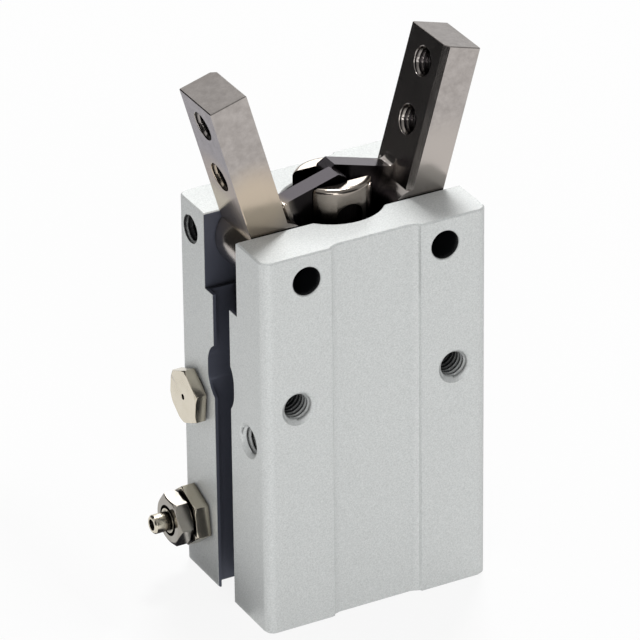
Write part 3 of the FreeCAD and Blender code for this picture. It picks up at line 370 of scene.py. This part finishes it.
def plated(name, colour, shade, roughness, patch, bump=0.08, reach=FITTING_REACH):
    """Metal with a thin finish: reflections broken by slight patches, and painted shade where it is
    sheltered.
    """
    material, tree, shader = surface(name, colour, 1.0, roughness)
    place = add(tree, "ShaderNodeTexCoord").outputs["Object"]
    patches = add(tree, "ShaderNodeTexNoise", {"Vector": place, "Scale": per_mm(patch), "Detail": 5.0})
    tint = add(
        tree,
        "ShaderNodeMix",
        {FACTOR: patches.outputs["Fac"], FIRST: linear(colour), SECOND: linear(shade)},
        data_type="RGBA",
    )
    gloss = add(
        tree,
        "ShaderNodeMapRange",
        {"Value": patches.outputs["Fac"], "To Min": roughness * 0.6, "To Max": roughness * 1.5},
    )
    ripple = add(
        tree,
        "ShaderNodeBump",
        {"Height": patches.outputs["Fac"], "Strength": bump, "Distance": RIPPLE_DEPTH},
    )
    # Painted shade: sheltered spots darken towards near black.
    shaded = painted_recess_shade(
        tree,
        reach,
        PLATED_DARK,
        PLATED_UNSHADED,
        linear("#1c1917"),
        tint.outputs[BLENDED],
    )
    tree.links.new(shaded, shader.inputs["Base Color"])
    tree.links.new(gloss.outputs["Result"], shader.inputs["Roughness"])
    tree.links.new(ripple.outputs["Normal"], shader.inputs["Normal"])
    return material


# The lathe tool's feed is about 0.08 mm a turn; the rings are drawn every 0.25 mm to show.
RING_SPACING = 0.25
RING_DEPTH = 0.01 * MM
# Angle that a wave texture turns through in one unit of its scaled length.
WAVE_ANGLE = 20


def turned_aluminium():
    """Lathe-turned aluminium: bright, with fine rings left by the tool."""
    material, tree, shader = surface("turned_aluminium", "#cfd0d2", 1.0, 0.3)
    place = add(tree, "ShaderNodeTexCoord").outputs["Object"]
    rings = add(
        tree,
        "ShaderNodeTexWave",
        {"Vector": place, "Scale": per_mm(RING_SPACING) * math.tau / WAVE_ANGLE, "Distortion": 0.4},
        wave_type="RINGS",
        rings_direction="Z",
    )
    gloss = add(
        tree,
        "ShaderNodeMapRange",
        {"Value": rings.outputs["Fac"], "To Min": 0.22, "To Max": 0.38},
    )
    grooves = add(
        tree,
        "ShaderNodeBump",
        {"Height": rings.outputs["Fac"], "Strength": 0.15, "Distance": RING_DEPTH},
    )
    tree.links.new(gloss.outputs["Result"], shader.inputs["Roughness"])
    tree.links.new(grooves.outputs["Normal"], shader.inputs["Normal"])
    return material


def moulded(name, colour, shade, roughness, grain, ior):
    """Moulded rubber, nylon or bonded magnet: dull, with a fine grain and slightly uneven colour."""
    material, tree, shader = surface(name, colour, 0.0, roughness)
    shader.inputs["IOR"].default_value = ior
    place = add(tree, "ShaderNodeTexCoord").outputs["Object"]
    grains = add(tree, "ShaderNodeTexNoise", {"Vector": place, "Scale": per_mm(grain), "Detail": 4.0})
    tint = add(
        tree,
        "ShaderNodeMix",
        {FACTOR: grains.outputs["Fac"], FIRST: linear(colour), SECOND: linear(shade)},
        data_type="RGBA",
    )
    skin = add(
        tree,
        "ShaderNodeBump",
        {"Height": grains.outputs["Fac"], "Strength": 0.2, "Distance": RIPPLE_DEPTH},
    )
    tree.links.new(tint.outputs[BLENDED], shader.inputs["Base Color"])
    tree.links.new(skin.outputs["Normal"], shader.inputs["Normal"])
    return material


# Tapped M3 holes: the solids hold the tap drill size, and the threads are cut here.
PITCH = 0.5 * MM
THREAD_CREST = 1.12 * MM
THREAD_ROOT = 1.5 * MM
TURN_STEPS = 40
# Share of the pitch at which each corner of the thread's profile stands, and its radius.
PROFILE = ((0.0, THREAD_CREST), (0.4, THREAD_ROOT), (0.525, THREAD_ROOT), (0.925, THREAD_CREST))


def tap_shape(mesh, mouth, inward, depth):
    """Adds a right-hand screw to a mesh, starting one pitch outside the mouth."""
    turns = math.ceil(depth / PITCH)
    columns = len(PROFILE)
    to_hole = inward.to_track_quat("Z", "Y").to_matrix()
    grid = {}

    def corner(step, row):
        step, row = step % TURN_STEPS, row + columns * (step // TURN_STEPS)
        if (step, row) not in grid:
            share, radius = PROFILE[row % columns]
            along = (row // columns + share + step / TURN_STEPS - 1) * PITCH
            angle = math.tau * step / TURN_STEPS
            spot = Vector((radius * math.cos(angle), radius * math.sin(angle), along))
            grid[step, row] = mesh.verts.new(mouth + to_hole @ spot)
        return grid[step, row]

    rows = columns * turns
    for row in range(rows):
        for step in range(TURN_STEPS):
            mesh.faces.new(
                (corner(step, row), corner(step + 1, row), corner(step + 1, row + 1), corner(step, row + 1))
            )
    for end, flip in ((0, True), (rows, False)):
        rim = [corner(step, end) for step in range(TURN_STEPS)]
        rim += [corner(TURN_STEPS, end - row) for row in range(columns)]
        height = (end / columns - 0.5) * PITCH
        tip = mesh.verts.new(mouth + to_hole @ Vector((0, 0, height)))
        for first, second in zip(rim, rim[1:] + rim[:1]):
            mesh.faces.new((second, first, tip) if flip else (first, second, tip))


def screw_cutter(name, holes):
    """One object with the screw of every hole, given as mouth, inward direction and depth."""
    mesh = bmesh.new()
    for mouth, inward, depth in holes:
        tap_shape(mesh, mouth, inward, depth)
    bmesh.ops.recalc_face_normals(mesh, faces=mesh.faces)
    data = bpy.data.meshes.new(name)
    mesh.to_mesh(data)
    mesh.free()
    cutter = bpy.data.objects.new(name, data)
    bpy.context.scene.collection.objects.link(cutter)
    return cutter


def bake_modifiers(piece):
    """Keeps what the piece's modifiers make as its own mesh."""
    graph = bpy.context.evaluated_depsgraph_get()
    made = bpy.data.meshes.new_from_object(piece.evaluated_get(graph))
    piece.modifiers.clear()
    piece.data = made


# Points closer than this are one, and faces that turn less than this lie in one plane.
WELD = 0.0005 * MM
FLAT_TURN = math.radians(0.5)
# An edge is broken where its faces turn more than the first angle, in so many steps, and what is left of it
# is shaded sharp past the second one.
EDGE_TURN = math.radians(35)
EDGE_STEPS = 2
SHARP_TURN = math.radians(32)


def eased_copy(name, node, edge, cutter=None):
    """Copy of a node whose sharp edges are broken by a small round, with its threads cut."""
    data = frame["nodes"][node].data.copy()
    mesh = bmesh.new()
    mesh.from_mesh(data)
    bmesh.ops.remove_doubles(mesh, verts=mesh.verts, dist=WELD)
    bmesh.ops.dissolve_limit(
        mesh,
        angle_limit=FLAT_TURN,
        verts=mesh.verts,
        edges=mesh.edges,
        use_dissolve_boundaries=False,
    )
    mesh.to_mesh(data)
    mesh.free()
    piece = bpy.data.objects.new(name, data)
    bpy.context.scene.collection.objects.link(piece)
    round_off = piece.modifiers.new("broken_edges", "BEVEL")
    round_off.width = edge
    round_off.segments = EDGE_STEPS
    round_off.limit_method = "ANGLE"
    round_off.angle_limit = EDGE_TURN
    round_off.use_clamp_overlap = True
    bake_modifiers(piece)
    if cutter:
        tap = piece.modifiers.new("threads", "BOOLEAN")
        tap.operation = "DIFFERENCE"
        tap.object = cutter
        tap.solver = "EXACT"
        bake_modifiers(piece)
        bpy.data.objects.remove(cutter)
    piece.data.materials.clear()
    piece.data.shade_smooth()
    piece.data.set_sharp_from_angle(angle=SHARP_TURN)
    evened = piece.modifiers.new("even_faces", "WEIGHTED_NORMAL")
    evened.keep_sharp = True
    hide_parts(node)
    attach(piece, body_of_node[node])
    return piece


# Holes in the body: front pair, sides, pin-lock screws and base. A thread stops short of its hole's end.
THREAD_STOP = 0.35 * MM
FRONT_TAP_DEPTH = 4.4 * MM
SIDE_TAP_DEPTH = 4.5 * MM
BASE_TAP_DEPTH = 4.5 * MM
BODY_EDGE = 0.06 * MM
front = mounts["front_bolts"]
base = mounts["base_bolts"]
side_tap = mounts["side_tap_right"]["pos_m"]
front_x = front["dims"]["spacing_x_mm"] / 2 * MM
base_x = base["dims"]["spacing_x_mm"] / 2 * MM
base_y = base["dims"]["spacing_y_mm"] / 2 * MM
body_holes = []
for side in (-1, 1):
    inward = Vector((-side, 0, 0))
    front_mouth = Vector((side * front_x, front["pos_m"][1], front["pos_m"][2]))
    body_holes.append((front_mouth, Vector((0, 1, 0)), FRONT_TAP_DEPTH - THREAD_STOP))
    side_mouth = Vector((side * HALF_WIDTH, side_tap[1], side_tap[2]))
    body_holes.append((side_mouth, inward, SIDE_TAP_DEPTH - THREAD_STOP))
    lock_mouth = Vector((side * HALF_WIDTH, SCREW_Y, PIVOT_Z))
    body_holes.append((lock_mouth, inward, HALF_WIDTH - SCREW_LOW.x - THREAD_STOP))
    for across in (-1, 1):
        base_mouth = Vector((side * base_x, across * base_y, 0))
        body_holes.append((base_mouth, Vector((0, 0, 1)), BASE_TAP_DEPTH - THREAD_STOP))

body = eased_copy("body_machined", "body", BODY_EDGE, screw_cutter("body_taps", body_holes))
body.data.materials.append(anodised_aluminium())

# Fingers: two tapped holes right through each bar. The left foot's painted warm reflection is warmer than
# the right one's.
FINGER_EDGE = 0.04 * MM
for side, lean, foot in (("left", FINGER_LEAN, "#c2b4a2"), ("right", -FINGER_LEAN, "#b6afa9")):
    finger_holes = []
    for level in ("upper", "lower"):
        tap = mounts["finger_%s_%s_tap" % (side, level)]
        axis = Vector(tap["axis"])
        finger_holes.append((Vector(tap["pos_m"]) + axis * FINGER_WIDTH / 2, -axis, FINGER_WIDTH + PITCH))
    cutter = screw_cutter("finger_%s_taps" % side, finger_holes)
    finger = eased_copy("finger_%s_ground" % side, "finger_" + side, FINGER_EDGE, cutter)
    finger.data.materials.append(
        ground_steel("ground_steel_" + side, "#b2aca8", "#a09a96", foot, lean)
    )

# Finishes of the other pieces. The plated and moulded ones give two colours, the gloss, and the size in
# millimetres of the patches or grains that mix them.
finishes = {
    # Rod: hard chromed and polished, so it mirrors the room in bright and dark bands.
    "polished_steel": plated("chromed_steel", "#a9a199", "#8f867d", 0.17, 1.2, reach=ROD_REACH),
    # Pins: hardened and ground, so they are an even mid grey with faint lines, with painted shade where
    # sheltered and the arms' painted shade near the middle of the gripper.
    "pin_steel": ground_steel("ground_pin_steel", "#8e8c8a", "#7d7a78", "#8e8c8a", 0.0, 0.25),
    # Set screws: steel blackened in a hot salt bath, nearly black with a low satin gloss.
    "black_steel": plated("black_oxide_steel", "#2b2b2d", "#1d1d1f", 0.35, 0.6, bump=0.2),
    "turned_aluminium": turned_aluminium(),
    # Seals: moulded nitrile rubber, black and dull.
    "seal_rubber": moulded("nitrile_rubber", "#1c1c1d", "#262627", 0.6, 0.3, 1.52),
    # Magnet: magnet powder bonded in plastic and moulded, dark brown with a fine grain.
    "magnet": moulded("bonded_magnet", "#2f2b2a", "#3a3534", 0.5, 0.2, 1.6),
    # Nuts: steel with bright zinc plating, a warm grey mirror.
    "zinc_steel": plated("zinc_plated_steel", "#a5a19a", "#8f8a82", 0.14, 0.8),
    # Bush and filter: bronze beads pressed and sintered, a rough golden brown.
    "bronze": plated("sintered_bronze", "#a5814f", "#8a693c", 0.45, 0.15, bump=0.4),
    # Spring and retaining ring: drawn wire and stamped strip, phosphated, a dull dark grey.
    "spring_steel": plated("phosphated_spring_steel", "#5f5e5f", "#4c4b4c", 0.4, 0.4, bump=0.2),
    # Plug and fitting: turned brass with bright nickel plating, a creamy white shine.
    "nickel_brass": plated("nickel_plated_brass", "#d9d2c3", "#cfc6b3", 0.22, 1.5),
    # Washers: nylon, moulded, dark and slightly glossy.
    "gasket_nylon": moulded("moulded_nylon", "#2c2b2a", "#353432", 0.5, 0.3, 1.53),
}

# Pieces that show keep their solids' shapes with edges broken by so many millimetres.
EASED = {
    "piston_rod": ("piston_rod_polished", 0.05),
    "drive_pin": ("drive_pin_ground", 0.08),
    "pivot_pin_left": ("pivot_pin_left_ground", 0.03),
    "pivot_pin_right": ("pivot_pin_right_ground", 0.03),
    "exhaust_plug": ("exhaust_plug_plated", 0.05),
    "exhaust_plug_gasket": ("exhaust_plug_washer", 0.08),
    "hose_fitting": ("hose_fitting_plated", 0.05),
    "hose_fitting_gasket": ("hose_fitting_washer", 0.06),
    "hose_cap_nut": ("hose_cap_nut_plated", 0.06),
    "set_screw_left": ("set_screw_left_black", 0.06),
    "set_screw_right": ("set_screw_right_black", 0.06),
    "end_cap": ("end_cap_turned", 0.08),
    "retaining_ring": ("retaining_ring_sprung", 0.06),
}
for node, cad_piece in frame["nodes"].items():
    if node in ("body", "finger_left", "finger_right"):
        continue
    finish = finishes[slot_of_node[node]]
    if node in EASED:
        shown_name, edge = EASED[node]
        shown = eased_copy(shown_name, node, edge * MM)
        shown.data.materials.append(finish)
    else:
        cad_piece.data.materials.clear()
        cad_piece.data.materials.append(finish)

# Floor: a plain sheet of white paper under the gripper, matt and even.
FLOOR_RADIUS = 1.5
FLOOR_STEPS = 96
FLOOR_DROP = 0.02 * MM
# Share of the sheet's own white in what the camera and the metal see of it; the rest keeps the shadow.
GLOW_SHARE = 0.88
floor_mesh = bmesh.new()
bmesh.ops.create_circle(floor_mesh, cap_ends=True, segments=FLOOR_STEPS, radius=FLOOR_RADIUS)
floor_data = bpy.data.meshes.new("floor")
floor_mesh.to_mesh(floor_data)
floor_mesh.free()
floor = bpy.data.objects.new("floor", floor_data)
floor.location.z = -FLOOR_DROP
bpy.context.scene.collection.objects.link(floor)
paper, paper_tree, paper_shader = surface("white_paper", "#e2e2e2", 0.0, 0.9)
path_kind = add(paper_tree, "ShaderNodeLightPath")
mirrored = add(
    paper_tree,
    "ShaderNodeMath",
    {0: path_kind.outputs["Is Glossy Ray"], 1: path_kind.outputs["Is Transmission Ray"]},
    operation="MAXIMUM",
)
seen = add(
    paper_tree,
    "ShaderNodeMath",
    {0: path_kind.outputs["Is Camera Ray"], 1: mirrored.outputs[0]},
    operation="MAXIMUM",
)
share = add(paper_tree, "ShaderNodeMath", {0: seen.outputs[0], 1: GLOW_SHARE}, operation="MULTIPLY")
glow = add(paper_tree, "ShaderNodeEmission", {"Color": linear("#ffffff"), "Strength": 1.0})
lit = add(
    paper_tree,
    "ShaderNodeMixShader",
    {0: share.outputs[0], 1: paper_shader.outputs["BSDF"], 2: glow.outputs["Emission"]},
)
paper_tree.links.new(lit.outputs[0], paper_tree.nodes["Material Output"].inputs["Surface"])
floor_data.materials.append(paper)

# World: an even room, brighter towards the wall behind the gripper.
ROOM_FRONT = 0.3
ROOM_BACK = 0.95
BRIGHT_END = (-0.35, 0.8, -0.48)
world = bpy.data.worlds.new("room")
bpy.context.scene.world = world
world.use_nodes = True
room = world.node_tree.nodes["Background"]
room.inputs["Color"].default_value = linear("#ffffff")
heading = add(world.node_tree, "ShaderNodeTexCoord")
slope = add(
    world.node_tree,
    "ShaderNodeVectorMath",
    {0: heading.outputs["Generated"], 1: BRIGHT_END},
    operation="DOT_PRODUCT",
)
brightness = add(
    world.node_tree,
    "ShaderNodeMapRange",
    {"Value": slope.outputs["Value"], "From Min": -1.0, "To Min": ROOM_FRONT, "To Max": ROOM_BACK},
)
world.node_tree.links.new(brightness.outputs["Result"], room.inputs["Strength"])

# Lamps: where each one stands, how wide it is, and its power in watts.
LAMPS = (
    ("key_softbox", (0.28, 0.38, 0.91), 0.2, 5.7),
    ("back_softbox", (0.45, 0.80, 0.55), 0.2, 0.5),
    ("front_softbox", (-0.4, -0.95, 0.3), 0.8, 5.9),
)
LAMP_AIM = Vector((0, 0, 0.025))
for name, spot, width, power in LAMPS:
    lamp = bpy.data.lights.new(name, "AREA")
    lamp.size = width
    lamp.energy = power
    stand = bpy.data.objects.new(name, lamp)
    stand.location = spot
    stand.rotation_mode = "QUATERNION"
    stand.rotation_quaternion = (LAMP_AIM - Vector(spot)).to_track_quat("-Z", "Y")
    bpy.context.scene.collection.objects.link(stand)

# Cards beside the gripper, which only the light on it meets, give the metal its darker sides. Each has two
# opposite corners in metres, its colour, and whether mirrored or scattered light meets it.
CARDS = (
    ("rear_card", (-0.06, 0.03, 0), (-0.06, 0.6, 0.35), "#141416", "glossy"),
    ("front_card", (-0.2, -0.4, 0), (-0.2, 0.0, 0.2), "#141416", "glossy"),
    ("ahead_card", (-0.1, -0.5, 0.1), (0.6, -0.5, 0.45), "#141416", "glossy"),
    ("side_card", (-0.03, 0.045, 0), (-0.012, 0.08, 0), "#b4b4bc", "glossy"),
    ("foot_card", (-0.0175, -0.004, 0), (-0.0118, 0.016, 0), "#45454c", "glossy"),
    ("low_card", (-0.024, 0, 0), (-0.024, 0.03, 0.012), "#202024", "diffuse"),
)
for name, low, high, colour, meets in CARDS:
    wide, tall = [axis for axis in range(3) if low[axis] != high[axis]]
    beside = list(low)
    beside[wide] = high[wide]
    over = list(low)
    over[tall] = high[tall]
    card_mesh = bpy.data.meshes.new(name)
    card_mesh.from_pydata((low, beside, high, over), [], [(0, 1, 2, 3)])
    card = bpy.data.objects.new(name, card_mesh)
    card.location.z = -FLOOR_DROP / 2
    card.visible_camera = False
    card.visible_shadow = False
    card.visible_glossy = meets == "glossy"
    card.visible_diffuse = meets == "diffuse"
    bpy.context.scene.collection.objects.link(card)
    card_mesh.materials.append(surface(name + "_paper", colour, 0.0, 1.0)[0])

# Camera, at the photograph's angle. It turns about a point on the gripper and aims a little beside it.
AZIMUTH = math.radians(-28.206)
ELEVATION = math.radians(29.262)
ROLL = math.radians(-0.574)
DISTANCE = 0.5446
WATCHED = Vector((0, 0, 0.0193))
AIM_RIGHT = -1.289 * MM
AIM_UP = 5.983 * MM
# Focal length and sensor width in millimetres, and the range in metres that is drawn.
LENS = 331.935
SENSOR = 36.0
CLIP_NEAR = 0.01
CLIP_FAR = 20.0
back = Vector(
    (
        math.sin(AZIMUTH) * math.cos(ELEVATION),
        -math.cos(AZIMUTH) * math.cos(ELEVATION),
        math.sin(ELEVATION),
    )
)
level = Vector((math.cos(AZIMUTH), math.sin(AZIMUTH), 0))
rise = back.cross(level)
right = level * math.cos(ROLL) + rise * math.sin(ROLL)
up = rise * math.cos(ROLL) - level * math.sin(ROLL)
eye = WATCHED + back * DISTANCE
toward = (eye - (WATCHED + right * AIM_RIGHT + up * AIM_UP)).normalized()
side_axis = up.cross(toward).normalized()
top_axis = toward.cross(side_axis)
camera_data = bpy.data.cameras.new("photo_camera")
camera_data.sensor_width = SENSOR
camera_data.lens = LENS
camera_data.clip_start = CLIP_NEAR
camera_data.clip_end = CLIP_FAR
camera = bpy.data.objects.new("photo_camera", camera_data)
camera.matrix_world = Matrix.Translation(eye) @ Matrix((side_axis, top_axis, toward)).transposed().to_4x4()
bpy.context.scene.collection.objects.link(camera)
bpy.context.scene.camera = camera

bpy.context.scene.view_settings.view_transform = "Standard"
